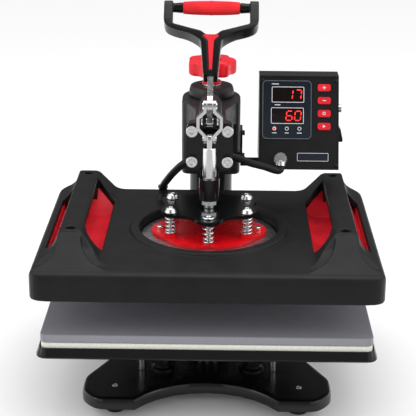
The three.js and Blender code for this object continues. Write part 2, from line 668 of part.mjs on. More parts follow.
// Red trough under each bar, hung inside the openings.
function buildTroughs() {
  const tray = [[122, 195.6], [122, 187], [133, 180.5, 8], [180, 180.5, 8], [190, 187], [190, 195.6]];
  const dish = [[124.4, 199.5], [124.4, 188], [134.5, 183, 8], [178.5, 183, 8], [187.6, 188], [187.6, 199.5]];
  const y0 = -88;
  const y1 = 124;
  ['trough_right', 'trough_left'].forEach((name, i) => {
    const side = i === 0 ? (p) => p : mirrored;
    const open = solid(prismY(outline(side(tray)), y0, y1));
    const body = open.subtract(solid(prismY(outline(side(dish)), y0 + 2.2, y1 - 2.2)));
    const room = RAMP_ROOM.map((points) => prismZ(outline(side(points)), 182, UNDER_BAR.top - 1));
    place(name, body.add(solid(prismX(outline(RAMP), -200, 200)).intersect(join(...room))), red);
  });
}

// ---------- control box ----------
// Face frame: on the tilted front, X to the right, Z up along it, -Y out of it.
const face = new THREE.Group();
face.position.set((BOX.x0 + BOX.x1) / 2, BOX.frontLow, BOX.z0);
face.rotation.x = -BOX_TILT;
ram.add(face);

function wedge(inset) {
  const i = inset;
  return outline([
    [BOX.frontLow + i * 1.2, BOX.z0 + i], [BOX.back - i, BOX.z0 + i],
    [BOX.back - i, BOX.z1 - i], [BOX.frontTop + i * 0.8, BOX.z1 - i],
  ]);
}

function buildBoxShell() {
  const outer = prismX(wedge(0), BOX.x0, BOX.x1);
  const inner = prismX(wedge(BOX.sheet), BOX.x0 + BOX.sheet, BOX.x1 - BOX.sheet);
  const mouth = block(-BOX_W / 2 + BOX.sheet, BOX_W / 2 - BOX.sheet, -5, 6, BOX.sheet + 1, BOX_SLOPE - BOX.sheet - 1);
  mouth.rotateX(-BOX_TILT).translate((BOX.x0 + BOX.x1) / 2, BOX.frontLow, BOX.z0);
  const inletWall = block(119, 143, 125, BOX.back, 264, 286);
  const inlet = block(122, 140, 127, 140, 267, 283);
  const switchHole = block(158, 164, 98, 112, 281, 303);
  const fuseHole = rodX(4.6, 158, 164, 112, 322, 16);
  const hollow = cut(solid(outer), inner).add(solid(inletWall));
  place('box_shell', cut(hollow, mouth, inlet, switchHole, fuseHole), glossBlack);
}

const PANEL = { y0: 0.3, y1: 1.8 };
const SOCKET = { x: 27 - BOX_W / 2, z: 12.4 };
const buttonZ = (i) => BUTTON.top - i * BUTTON.pitch;
const BUTTON_X = BUTTON.x - BOX_W / 2;

function buildPanel() {
  const edge = BOX_W / 2 - BOX.sheet - GAP;
  const slab = prismY(outline([[-edge, 3], [edge, 3], [edge, BOX_SLOPE - 3], [-edge, BOX_SLOPE - 3]]), PANEL.y0, PANEL.y1);
  const holes = [0, 1, 2, 3].map((i) => {
    const z = buttonZ(i);
    const w = BUTTON.w / 2 + GAP;
    const h = BUTTON.h / 2 + GAP;
    return prismY(roundedRect(BUTTON_X - w, BUTTON_X + w, z - h, z + h, 3), -5, 5);
  });
  const socketHole = rodY(6.4, -5, 5, SOCKET.x, SOCKET.z, 20);
  place('front_panel', cut(solid(slab), ...holes, socketHole), glossBlack, face);
  const film = outline([[-46, 38], [15, 38, 7], [15, 112, 5], [-46, 112]]);
  place('display_overlay', prismY(film, -0.9, 0), glass, face);
}

function buildButtons() {
  for (let i = 0; i < 4; i += 1) {
    const z = buttonZ(i);
    const w = BUTTON.w / 2;
    const h = BUTTON.h / 2;
    const cap = prismY(roundedRect(BUTTON_X - w, BUTTON_X + w, z - h, z + h, 3), -1.6, 3.2);
    place(`button_${i + 1}`, cap, red, face);
  }
}

function buildBoxSide() {
  const rocker = outline([[281.6, 0], [302.4, 0], [298, 3.6], [284, 6.8, 2], [281.6, 6]]);
  const pad = new THREE.ExtrudeGeometry(rocker, { depth: 12.8, bevelEnabled: false, curveSegments: 4 });
  const turn = new THREE.Matrix4().makeBasis(
    new THREE.Vector3(0, 0, 1),
    new THREE.Vector3(1, 0, 0),
    new THREE.Vector3(0, 1, 0),
  );
  const key = pad.applyMatrix4(turn).translate(161.5, 98.6, 0);
  place('power_switch', key, plasticBlack);
  const cap = join(rodX(4.2, 152, 162, 112, 322, 16), rodX(5, 161.4, 166, 112, 322, 16));
  place('fuse_cap', cap, chrome);
}

// Socket on the face, with a knurled ring on it and an elbow that turns the cable down.
const ELBOW_DROP = THREE.MathUtils.degToRad(5);
function buildPlug() {
  const teeth = 24;
  const knurl = Array.from({ length: teeth * 2 }, (_, i) => {
    const t = (i / (teeth * 2)) * 2 * Math.PI;
    const r = i % 2 ? 7.4 : 6.9;
    return new THREE.Vector2(SOCKET.x + r * Math.cos(t), SOCKET.z + r * Math.sin(t));
  });
  const flange = rodY(8, -2.4, -GAP, SOCKET.x, SOCKET.z, 20);
  const stub = rodY(6, -2, 8, SOCKET.x, SOCKET.z, 20);
  const ring = prismY(new THREE.Shape(knurl), -13, -2);
  const nose = rodY(5.6, -15.5, -12.5, SOCKET.x, SOCKET.z, 20);
  const elbow = turned([[0, -10], [5.6, -10], [6.1, -8], [6.1, -4], [5.2, -3], [5.2, 0], [0, 0]], 20);
  elbow.rotateX(-ELBOW_DROP).translate(SOCKET.x, -9.5, SOCKET.z);
  place('cable_plug', join(flange, stub, ring, nose, elbow), chrome, face);
}

// Sheet bracket from the sleeve's side round to the back of the box.
function buildBracket() {
  const back = block(66, 108, BOX.back + GAP, BOX.back + 3.3, 237, 320);
  const tab = block(38.8, 70, BOX.back + GAP, BOX.back + 3.3, 237, 248);
  const side = block(38.8, 41.8, BOX.back + GAP, 190, 237, 248);
  const foot = block(38.8, 41.8, 164, 192, 232, 277);
  const screws = [238.5, 270].map((z) => rodX(3.6, 41, 45, 178, z, 12));
  place('box_bracket', join(back, tab, side, foot, ...screws), glossBlack);
}

// ---------- heater cable ----------
const CABLE_ROUTE = [
  [88, 50.6, 261.2], [87.4, 49.6, 259.4], [84.6, 48.4, 258.6], [78.6, 46.8, 260.4], [69, 44.8, 264.4],
  [59.5, 43, 267.4], [50, 42, 270.2], [36, 42.5, 275.4], [18, 43, 279.4], [0, 43.2, 280], [-16, 42.8, 277.6],
  [-27, 44, 271.4], [-38, 54, 260], [-48, 71, 245], [-55, 88, 231.5],
];

function buildCable() {
  place('heater_cable', tube(CABLE_ROUTE, CABLE_R, 56), rubber);
}

buildBase();
buildColumn();
buildLevellingStuds();
buildTray();
buildArm();
buildCapAndKnob();
buildFrontPlate();
buildPlateBolts();
buildGuideBush();
buildPivotPin();
buildLever();
buildHandle();
buildLink('link_right', 1);
buildLink('link_left', -1);
buildRam();
buildPressurePlate();
buildSprings();
buildSpringBolts();
buildRedPlate();
buildHeater();
buildCover();
buildTroughs();
buildBoxShell();
buildPanel();
buildButtons();
buildBoxSide();
buildPlug();
buildBracket();
buildCable();

export default press;
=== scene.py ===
import json
import math

import bmesh
import bpy
from mathutils import Matrix, Vector

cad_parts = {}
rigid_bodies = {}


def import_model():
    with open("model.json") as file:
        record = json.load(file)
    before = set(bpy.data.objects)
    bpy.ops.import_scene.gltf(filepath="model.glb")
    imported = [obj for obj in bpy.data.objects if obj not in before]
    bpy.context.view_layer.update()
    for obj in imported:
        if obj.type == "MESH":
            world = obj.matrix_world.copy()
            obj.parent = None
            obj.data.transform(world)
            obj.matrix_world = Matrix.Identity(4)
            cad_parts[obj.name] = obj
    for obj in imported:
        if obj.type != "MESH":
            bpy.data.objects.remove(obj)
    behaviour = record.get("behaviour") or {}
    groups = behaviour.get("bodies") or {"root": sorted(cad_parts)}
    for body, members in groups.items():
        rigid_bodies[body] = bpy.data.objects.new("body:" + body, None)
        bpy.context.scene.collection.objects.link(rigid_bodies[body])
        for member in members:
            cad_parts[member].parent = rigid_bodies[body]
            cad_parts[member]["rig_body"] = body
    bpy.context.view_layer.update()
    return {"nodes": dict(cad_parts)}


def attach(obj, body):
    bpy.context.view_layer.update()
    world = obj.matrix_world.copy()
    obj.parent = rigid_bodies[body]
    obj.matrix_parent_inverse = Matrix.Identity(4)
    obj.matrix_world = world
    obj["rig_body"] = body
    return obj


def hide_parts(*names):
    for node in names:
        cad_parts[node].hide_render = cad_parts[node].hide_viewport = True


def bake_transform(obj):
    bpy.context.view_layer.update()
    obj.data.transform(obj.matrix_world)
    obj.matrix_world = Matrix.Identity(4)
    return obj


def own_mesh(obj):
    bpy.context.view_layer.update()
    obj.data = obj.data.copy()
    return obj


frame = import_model()
nodes = frame["nodes"]

# ---------- driving dimensions, in millimetres ----------
MM = 0.001
RAM_Y = -41.0  # ram axis in the CAD frame
COLUMN_Y = 150.0  # column axis in the CAD frame
PIVOT = Vector((0, RAM_Y + 8, 332))  # lever's fixed pivot
LEAN = math.radians(40)  # lever's lean at rest
GRIP_AT = 153.8  # pivot to grip, along the lever
GRIP_END = 35.1  # half length of the grip
BOX_LOW = Vector((111, RAM_Y + 60, 256.4))  # lower front edge of the control box, at its middle
BOX_RISE = 108.3  # height of the box's sloping front
BOX_RUN = 50  # how far that front leans back
BOX_TILT = math.atan2(BOX_RUN, BOX_RISE)
BOX_SLOPE = math.hypot(BOX_RUN, BOX_RISE)  # its length up the slope
SPRING_SPOTS = [(-46, 33), (46, 33), (-46, -20), (46, -20), (0, -40)]
SEAT_TOP = 200.0  # raised seats of the four corner springs
RED_TOP = 195.7  # red plate under the front spring
PLATE_UNDER = 221.5  # underside of the pressure plate
GLAND = (-61.5, 114)  # cable gland on the cover, from the ram axis
DRILL_TOP = 260  # drills start above the cover
EDGE_ANGLE = 32  # degrees; sharper edges are rounded over
EDGE_SEGMENTS = 3
SMOOTH_ANGLE = 40  # degrees
LENS_MM = 112.9725

# Local frames: the lever's Z runs along it, the face's Z runs up the tilted panel.
LEVER = Matrix.Translation(PIVOT) @ Matrix.Rotation(-LEAN, 4, "X")
FACE = Matrix.Translation(BOX_LOW) @ Matrix.Rotation(-BOX_TILT, 4, "X")
RAM = Matrix.Translation((0, RAM_Y, 0))
COLUMN = Matrix.Translation((0, COLUMN_Y, 0))
ALONG_X = Matrix.Rotation(math.radians(90), 4, "Y")
ALONG_Y = Matrix.Rotation(math.radians(90), 4, "X")
TO_METRES = Matrix.Scale(MM, 4)


# ---------- materials ----------
class Finish:
    """A Principled material whose colour, roughness and bump come from object-space noise."""

    def __init__(self, name, color, roughness, metallic=0.0):
        self.material = bpy.data.materials.new(name)
        self.material.use_nodes = True
        self.tree = self.material.node_tree
        self.shader = self.tree.nodes["Principled BSDF"]
        self.color = color
        self.roughness = roughness
        self.shader.inputs["Base Color"].default_value = (*color, 1)
        self.shader.inputs["Roughness"].default_value = roughness
        self.shader.inputs["Metallic"].default_value = metallic
        self.place = self.node("ShaderNodeTexCoord").outputs["Object"]

    def node(self, kind, **values):
        made = self.tree.nodes.new(kind)
        for key, value in values.items():
            if key in made.inputs:
                made.inputs[key].default_value = value
            else:
                setattr(made, key, value)
        return made

    def link(self, a, b):
        self.tree.links.new(a, b)

    def stretched(self, scale):
        mapping = self.node("ShaderNodeMapping")
        mapping.inputs["Scale"].default_value = scale
        self.link(self.place, mapping.inputs["Vector"])
        return mapping.outputs["Vector"]

    def noise(self, grain_mm, detail=3.0, stretch=(1, 1, 1)):
        made = self.node("ShaderNodeTexNoise", Scale=1 / (grain_mm * MM), Detail=detail)
        self.link(self.stretched(stretch), made.inputs["Vector"])
        return made.outputs["Fac"]

    def wave(self, pitch_mm, direction, distortion=0.6):
        scale = 1 / (20 * pitch_mm * MM) * 2 * math.pi
        made = self.node("ShaderNodeTexWave", Scale=scale, Distortion=distortion)
        made.bands_direction = direction
        made.inputs["Detail Scale"].default_value = 3.0
        self.link(self.place, made.inputs["Vector"])
        return made.outputs["Fac"]

    def product(self, a, b):
        made = self.node("ShaderNodeMath", operation="MULTIPLY")
        self.link(a, made.inputs[0])
        self.link(b, made.inputs[1])
        return made.outputs[0]

    def ranged(self, value, low, high):
        """Stretches a noise's usual 0.3 to 0.7 over the given range."""
        made = self.node("ShaderNodeMapRange")
        for key, number in (("From Min", 0.3), ("From Max", 0.7), ("To Min", low), ("To Max", high)):
            made.inputs[key].default_value = number
        self.link(value, made.inputs["Value"])
        return made.outputs["Result"]

    def vary_roughness(self, value, spread):
        low = max(0.02, self.roughness - spread)
        self.link(self.ranged(value, low, self.roughness + spread), self.shader.inputs["Roughness"])
        return self

    def vary_color(self, value, other, start=0.35, end=0.65):
        ramp = self.node("ShaderNodeValToRGB")
        ramp.color_ramp.elements[0].position = start
        ramp.color_ramp.elements[1].position = end
        ramp.color_ramp.elements[0].color = (*self.color, 1)
        ramp.color_ramp.elements[1].color = (*other, 1)
        self.link(value, ramp.inputs["Fac"])
        self.link(ramp.outputs["Color"], self.shader.inputs["Base Color"])
        return self

    def bump(self, height, strength, depth_mm):
        made = self.node("ShaderNodeBump", Strength=strength, Distance=depth_mm * MM)
        self.link(height, made.inputs["Height"])
        self.link(made.outputs["Normal"], self.shader.inputs["Normal"])
        return self

    def specular(self, level):
        self.shader.inputs["Specular IOR Level"].default_value = level
        return self

    def coat(self, weight, roughness=0.08):
        self.shader.inputs["Coat Weight"].default_value = weight
        self.shader.inputs["Coat Roughness"].default_value = roughness
        return self

    def glow(self, color, strength):
        self.shader.inputs["Emission Color"].default_value = (*color, 1)
        self.shader.inputs["Emission Strength"].default_value = strength
        return self


def powder_coat(name, color, roughness, peel_mm=2.4):
    """Sprayed gloss paint with a faint orange peel and fine dust."""
    f = Finish(name, color, roughness)
    f.vary_roughness(f.noise(18), 0.05)
    f.bump(f.noise(peel_mm), 0.1, 0.05)
    return f.specular(0.3).coat(0.12, 0.1)


def moulded_plastic(name, color, roughness, grain_mm, strength=0.5):
    """Injection-moulded skin: spark-eroded grain over faint flow marks."""
    f = Finish(name, color, roughness)
    f.vary_roughness(f.noise(30), 0.04)
    f.vary_color(f.noise(26, 4.0), tuple(c * 1.3 for c in color))
    f.bump(f.noise(grain_mm, 2.0), strength, 0.06)
    return f.specular(0.2)


def plated(name, color, roughness):
    """Plated or polished steel with hairline scratches and slight clouding."""
    f = Finish(name, color, roughness, 1.0)
    f.vary_roughness(f.noise(5, 5.0), 0.05)
    f.bump(f.noise(0.5, 4.0, (1, 1, 0.15)), 0.04, 0.02)
    return f


def make_finishes():
    made = {}
    made["gloss_black"] = powder_coat("gloss_black", (0.004, 0.004, 0.0045), 0.2)
    made["panel_black"] = powder_coat("panel_black", (0.007, 0.007, 0.008), 0.32, 1.2)
    cast = Finish("cast_grey", (0.011, 0.011, 0.012), 0.42)
    cast.vary_color(cast.noise(7, 4.0), (0.02, 0.02, 0.021))
    cast.vary_roughness(cast.noise(9), 0.08)
    cast.bump(cast.noise(1.6, 4.0), 0.5, 0.16)
    made["cast_grey"] = cast.specular(0.35)
    made["cover_plastic"] = moulded_plastic("cover_plastic", (0.008, 0.008, 0.0085), 0.42, 0.8)
    handle = moulded_plastic("handle_plastic", (0.0045, 0.0045, 0.005), 0.2, 1.4, 0.12)
    made["handle_plastic"] = handle.coat(0.1)
    made["red_gloss"] = powder_coat("red_gloss", (0.8, 0.005, 0.018), 0.26)
    made["red_satin"] = moulded_plastic("red_satin", (0.6, 0.011, 0.022), 0.42, 0.9, 0.25)
    made["red_grip"] = moulded_plastic("red_grip", (0.62, 0.014, 0.02), 0.55, 0.6, 0.5)
    made["red_paint"] = powder_coat("red_paint", (0.78, 0.004, 0.01), 0.26)
    made["chrome"] = plated("chrome", (0.84, 0.84, 0.85), 0.16)
    made["zinc"] = plated("zinc", (0.66, 0.67, 0.69), 0.24)
    made["satin_steel"] = brushed("satin_steel", (0.6, 0.6, 0.61), 0.3)
    made["heat_plate"] = brushed("heat_plate", (0.5, 0.5, 0.51), 0.38)
    made["black_rubber"] = moulded_plastic("black_rubber", (0.012, 0.012, 0.012), 0.72, 0.5, 0.6)
    made["cable_rubber"] = moulded_plastic("cable_rubber", (0.009, 0.009, 0.0095), 0.42, 0.7, 0.3)
    made["silicone"] = silicone_weave()
    made["felt"] = felt_fibre()
    film = Finish("overlay_film", (0.004, 0.009, 0.016), 0.16)
    film.vary_roughness(film.noise(12), 0.05)
    film.bump(film.noise(0.4), 0.06, 0.01)
    made["overlay_film"] = film.coat(0.5)
    window = Finish("display_window", (0.006, 0.002, 0.002), 0.06)
    window.vary_roughness(window.noise(6), 0.03)
    made["display_window"] = window
    lit = Finish("lit_segment", (0.8, 0.02, 0.02), 0.4)
    lit.vary_color(lit.noise(0.8), (0.9, 0.04, 0.03))
    made["lit_segment"] = lit.glow((1.0, 0.012, 0.01), 1.5)
    ink = Finish("white_print", (0.72, 0.74, 0.76), 0.45)
    ink.vary_color(ink.noise(0.5), (0.62, 0.64, 0.66))
    made["white_print"] = ink
    line = Finish("grey_print", (0.12, 0.14, 0.16), 0.45)
    line.vary_color(line.noise(0.6), (0.2, 0.22, 0.24))
    made["grey_print"] = line
    return made


def brushed(name, color, roughness):
    """Turned or ground sheet metal with fine lines along X."""
    f = Finish(name, color, roughness, 1.0)
    lines = f.noise(0.5, 3.0, (0.03, 1, 1))
    f.vary_roughness(lines, 0.1)
    f.vary_color(f.noise(14), tuple(c * 0.86 for c in color))
    f.bump(lines, 0.12, 0.02)
    return f


def silicone_weave():
    """Sponge sheet whose skin carries the print of a fine cloth."""
    f = Finish("silicone", (0.19, 0.19, 0.215), 0.62)
    weave = f.product(f.wave(1.5, "X"), f.wave(1.5, "Y"))
    f.vary_color(f.product(weave, f.noise(1.1, 2.0)), (0.25, 0.25, 0.28), 0.0, 0.5)
    f.vary_roughness(f.noise(16), 0.06)
    f.bump(weave, 0.5, 0.12)
    return f


def felt_fibre():
    """Pressed needle felt: short fibres in a cream mat."""
    f = Finish("felt", (0.56, 0.56, 0.49), 0.92)
    fibres = f.noise(0.7, 5.0, (0.35, 0.35, 1.6))
    f.vary_color(fibres, (0.74, 0.74, 0.67))
    f.bump(fibres, 0.7, 0.3)
    f.shader.inputs["Sheen Weight"].default_value = 0.25
    return f


finishes = make_finishes()


# ---------- turning meshes into pieces ----------
def piece(name, mesh, finish, body, replaced=(), place=None):
    """A shown piece in the CAD frame; `place` maps the mesh's millimetres into it."""
    if place is not None:
        mesh.transform(TO_METRES @ place)
    obj = bpy.data.objects.new(name, mesh)
    bpy.context.scene.collection.objects.link(obj)
    mesh.materials.clear()
    mesh.materials.append(finishes[finish].material)
    if body is not None:
        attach(obj, body)
    if replaced:
        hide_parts(*replaced)
    return obj


def mesh_from(verts, faces, smooth=True):
    mesh = bpy.data.meshes.new("mesh")
    mesh.from_pydata([tuple(v) for v in verts], [], faces)
    mesh.polygons.foreach_set("use_smooth", [smooth] * len(mesh.polygons))
    mesh.update()
    return mesh


def outward(mesh):
    bm = bmesh.new()
    bm.from_mesh(mesh)
    bmesh.ops.recalc_face_normals(bm, faces=bm.faces)
    bm.to_mesh(mesh)
    bm.free()
    return mesh


def applied(obj):
    """Turns the object's modifiers into its mesh."""
    depsgraph = bpy.context.evaluated_depsgraph_get()
    mesh = bpy.data.meshes.new_from_object(obj.evaluated_get(depsgraph))
    obj.modifiers.clear()
    obj.data = mesh
    return obj


def welded_copy(node):
    """The CAD node's mesh with shared vertices, as a new mesh."""
    mesh = nodes[node].data.copy()
    bm = bmesh.new()
    bm.from_mesh(mesh)
    bmesh.ops.remove_doubles(bm, verts=bm.verts, dist=1e-6)
    flat = math.radians(0.6)
    bmesh.ops.dissolve_limit(bm, angle_limit=flat, verts=bm.verts, edges=bm.edges)
    bm.to_mesh(mesh)
    bm.free()
    return mesh


def edged(node, finish, width_mm):
    """The CAD shape with its sharp edges rounded over."""
    body = nodes[node]["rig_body"]
    obj = piece(f"{node}_finished", welded_copy(node), finish, body, [node])
    bevel = obj.modifiers.new("edges", "BEVEL")
    bevel.width = width_mm * MM
    bevel.segments = EDGE_SEGMENTS
    bevel.limit_method = "ANGLE"
    bevel.angle_limit = math.radians(EDGE_ANGLE)
    bevel.use_clamp_overlap = True
    bevel.miter_outer = "MITER_ARC"
    applied(obj)
    smooth_by_angle(obj)
    return obj


def smooth_by_angle(obj):
    mesh = obj.data
    mesh.polygons.foreach_set("use_smooth", [True] * len(mesh.polygons))
    mesh.set_sharp_from_angle(angle=math.radians(SMOOTH_ANGLE))
    weighted = obj.modifiers.new("flats", "WEIGHTED_NORMAL")
    weighted.keep_sharp = True


def moulded(node, finish, voxel_mm, rounds, holes=()):
    """The CAD shape flowed into one soft-edged skin, with round holes sunk in it."""
    body = nodes[node]["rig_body"]
    obj = piece(f"{node}_finished", welded_copy(node), finish, body, [node])
    for x, y, radius, bottom in holes:
        drill(obj, x, y, radius, bottom)
    remesh = obj.modifiers.new("skin", "REMESH")
    remesh.mode = "VOXEL"
    remesh.voxel_size = voxel_mm * MM
    remesh.use_smooth_shade = True
    soft = obj.modifiers.new("flow", "SMOOTH")
    soft.factor = 0.5
    soft.iterations = rounds
    return applied(obj)


def drill(obj, x, y, radius, bottom):
    """Sinks a round hole into the piece from above."""
    bit = lathe([(0, bottom), (radius, bottom), (radius, DRILL_TOP), (0, DRILL_TOP)])
    cutter = piece("cutter", bit, "chrome", None, place=by_ram(x, y))
    cut = obj.modifiers.new("hole", "BOOLEAN")
    cut.operation = "DIFFERENCE"
    cut.solver = "EXACT"
    cut.object = cutter
    applied(obj)
    bpy.data.objects.remove(cutter)


def lathe(profile, segments=64, wobble=None):
    """Solid turned about Z from (radius, height) points: from axis to axis, or a closed ring."""
    verts, faces, rings = [], [], []
    for r, z in profile:
        if r < 1e-6:
            rings.append([len(verts)])
            verts.append((0, 0, z))
            continue
        rings.append(list(range(len(verts), len(verts) + segments)))
        for i in range(segments):
            a = 2 * math.pi * i / segments
            k = 1 if wobble is None else wobble(a, r, z)
            verts.append((r * k * math.cos(a), r * k * math.sin(a), z))
    for low, high in zip(rings, rings[1:]):
        for i in range(segments):
            j = (i + 1) % segments
            corners = [low[i % len(low)], low[j % len(low)], high[j % len(high)], high[i % len(high)]]
            face = list(dict.fromkeys(corners))
            if len(face) > 2:
                faces.append(face)
    mesh = outward(mesh_from(verts, faces))
    bm = bmesh.new()
    bm.from_mesh(mesh)
    bmesh.ops.remove_doubles(bm, verts=bm.verts, dist=1e-5)
    bm.to_mesh(mesh)
    bm.free()
    return mesh


def rounded(profile, radius, steps=4):
    """The same profile with each inner corner rounded."""
    out = [profile[0]]
    for before, here, after in zip(profile, profile[1:], profile[2:]):
        a, b, c = Vector(before), Vector(here), Vector(after)
        reach = min(radius, (a - b).length / 2.01, (c - b).length / 2.01)
        start, end = b + (a - b).normalized() * reach, b + (c - b).normalized() * reach
        for i in range(steps + 1):
            t = i / steps
            out.append(tuple(start * (1 - t) ** 2 + b * 2 * t * (1 - t) + end * t * t))
    out.append(profile[-1])
    return out


def tube(points, radius, sides):
    """Round capped tube along close-set points, carried without twist."""
    points = [Vector(p) for p in points]
    ahead = [*points[1:], points[-1]]
    behind = [points[0], *points[:-1]]
    tangents = [(a - b).normalized() for a, b in zip(ahead, behind)]
    side = tangents[0].orthogonal().normalized()
    verts, faces = [], []
    for p, t in zip(points, tangents):
        side = (side - t * side.dot(t)).normalized()
        other = t.cross(side)
        for k in range(sides):
            a = 2 * math.pi * k / sides
            verts.append(p + side * (radius * math.cos(a)) + other * (radius * math.sin(a)))
    for i in range(len(points) - 1):
        for k in range(sides):
            m = (k + 1) % sides
            faces.append([i * sides + k, i * sides + m, (i + 1) * sides + m, (i + 1) * sides + k])
    faces.append(list(range(sides))[::-1])
    last = (len(points) - 1) * sides
    faces.append([last + k for k in range(sides)])
    return outward(mesh_from(verts, faces))


def spline(points, steps):
    """Catmull-Rom points through a route."""
    pts = [Vector(p) for p in points]
    pts = [pts[0] * 2 - pts[1], *pts, pts[-1] * 2 - pts[-2]]
    out = []
    for a, b, c, d in zip(pts, pts[1:], pts[2:], pts[3:]):
        for i in range(steps):
            t = i / steps
            square = a * 2 - b * 5 + c * 4 - d
            cube = b * 3 - a - c * 3 + d
            out.append(0.5 * (b * 2 + (c - a) * t + square * t**2 + cube * t**3))
    return [*out, pts[-2]]


def slab(outline, y0, y1, edge):
    """Raised plate on the X-Z plane from y0 to y1, with a small bevel round its front (low-y) edge."""
    n = len(outline)
    centre = sum((Vector(p) for p in outline), Vector((0, 0))) / n
    inner = []
    for i in range(n):
        a, b, c = (Vector(outline[(i + k) % n]) for k in (-1, 0, 1))
        inward = (a - b).normalized() + (c - b).normalized()
        if inward.length < 1e-4:
            inward = centre - b
        inner.append(b + inward.normalized() * edge)
    layers = [(outline, y1), (outline, y0 + edge), (inner, y0)]
    verts = [(x, y, z) for shape, y in layers for x, z in shape]
    faces = []
    for k in (0, 1):
        low, high = k * n, (k + 1) * n
        faces += [[low + i, low + (i + 1) % n, high + (i + 1) % n, high + i] for i in range(n)]
    faces += [list(range(n)), [2 * n + i for i in range(n)][::-1]]
    return outward(mesh_from(verts, faces, smooth=False))


def merged(meshes):
    """Several meshes as one."""
    bm = bmesh.new()
    for mesh in meshes:
        bm.from_mesh(mesh)
    out = bpy.data.meshes.new("mesh")
    bm.to_mesh(out)
    bm.free()
    return out


def arc(cx, cz, r, start, end, steps):
    angles = [math.radians(start + (end - start) * i / steps) for i in range(steps + 1)]
    return [(cx + r * math.cos(a), cz + r * math.sin(a)) for a in angles]


def round_rect(x0, x1, z0, z1, r, steps=6):
    corners = [(x1 - r, z0 + r, -90), (x1 - r, z1 - r, 0), (x0 + r, z1 - r, 90), (x0 + r, z0 + r, 180)]
    return [p for cx, cz, a in corners for p in arc(cx, cz, r, a, a + 90, steps)]


def by_ram(x, y):
    """Place of something at (x, y) from the ram axis."""
    return RAM @ Matrix.Translation((x, y, 0))


def turned(name, profile, soften, segments, finish, body, place, replaced=()):
    """A lathe-turned piece whose profile corners are softened."""
    piece(name, lathe(rounded(profile, soften), segments), finish, body, replaced, place)


# ---------- base, column and lower tray ----------
def build_base():
    edged("base_casting", "gloss_black", 1.2)
    for i in range(1, 5):
        edged(f"foot_{i}", "black_rubber", 0.8)


def build_column():
    column = [(0, 31.3), (44, 31.3), (44, 38.3), (30.6, 39.6), (28.4, 43), (28.4, 305), (0, 305)]
    turned("column_tube", column, 1.6, 96, "gloss_black", "base", COLUMN, ["rear_column"])


def build_studs():
    for i in (1, 2):
        edged(f"levelling_stud_{i}", "zinc", 0.5)
    thread = [(3.9 + 0.35 * (k % 2), 33 + 0.75 * k) for k in range(80)]
    ring = [(0, 32), *thread, (0, 93.5)]
    for i, x in enumerate((-80, 80), 1):
        piece(f"stud_thread_{i}", lathe(ring, 24), "zinc", "base", (), by_ram(x, -48))


def build_base_screws():
    screw = [(0, 31.3), (1.3, 31.3), (1.6, 32), (2.7, 31.9), (3.3, 31.5), (3.5, 30.8), (0, 30.8)]
    for i, x in enumerate((-110, 110), 1):
        turned(f"base_screw_{i}", screw, 0.3, 32, "zinc", "base", by_ram(x, -92))
    head = [(0, 43.6), (2.2, 43.6), (2.6, 45.6), (4.6, 45.6), (5, 44.8), (5, 38.5), (0, 38.5)]
    for i in range(4):
        a = math.radians(45 + 90 * i)
        place = COLUMN @ Matrix.Translation((36 * math.cos(a), 36 * math.sin(a), 0))
        turned(f"flange_bolt_{i + 1}", head, 0.4, 36, "zinc", "base", place)


def build_tray():
    edged("lower_tray", "gloss_black", 0.9)
    edged("felt_layer", "felt", 1.6)
    edged("silicone_pad", "silicone", 1.2)


# ---------- arm, cap and knob ----------
def build_arm():
    moulded("arm_casting", "cast_grey", 0.9, 3)
    cap = [(6.8, 318.3), (30, 318.3), (29.6, 325.5), (27.6, 332), (6.8, 332), (6.8, 318.3)]
    turned("cap_turned", cap, 1.4, 96, "cast_grey", "arm", COLUMN, ["column_cap"])
    washer = [(6.8, 332.3), (13.2, 332.3), (13.2, 334.3), (6.8, 334.3), (6.8, 332.3)]
    turned("washer_turned", washer, 0.3, 64, "chrome", "lift_collar", COLUMN, ["thrust_washer"])
    edged("guide_bush", "gloss_black", 0.8)
    edged("front_plate", "gloss_black", 0.8)
    for i in range(1, 5):
        edged(f"plate_bolt_{i}", "chrome", 0.7)
    edged("pivot_pin", "chrome", 0.6)
    edged("box_bracket", "gloss_black", 0.6)


def build_knob():
    def lobes(a, r, z):
        share = min(1.0, max(0.0, (r - 14) / 14))
        return 1 + 0.078 * share * math.cos(7 * a)

    head = [
        (0, 366.2), (13, 366.2), (15.5, 366.8), (17.5, 368), (24, 368), (28, 367.2), (30.1, 364.8),
        (30.3, 360), (30.3, 353), (30, 349.6), (28, 347.4), (24, 347), (10, 347), (9, 345), (8.7, 339.5),
        (12.4, 338), (12.8, 336), (12.6, 334.6), (0, 334.6),
    ]
    mesh = lathe(rounded(head, 1.2, 3), 196, lobes)
    piece("knob_moulded", mesh, "red_gloss", "knob", ["pressure_knob"], COLUMN)
    cap = [(0, 368.2), (9, 368.0), (11.6, 367.2), (12, 366.1), (0, 366.1)]
    turned("knob_cap", cap, 0.5, 64, "handle_plastic", "knob", COLUMN)
    screw = [(0, 262), *[(5.55 + 0.4 * (k % 2), 262.5 + 0.9 * k) for k in range(94)], (0, 347.6)]
    piece("screw_threaded", lathe(screw, 32), "satin_steel", "knob", ["pressure_screw"], COLUMN)


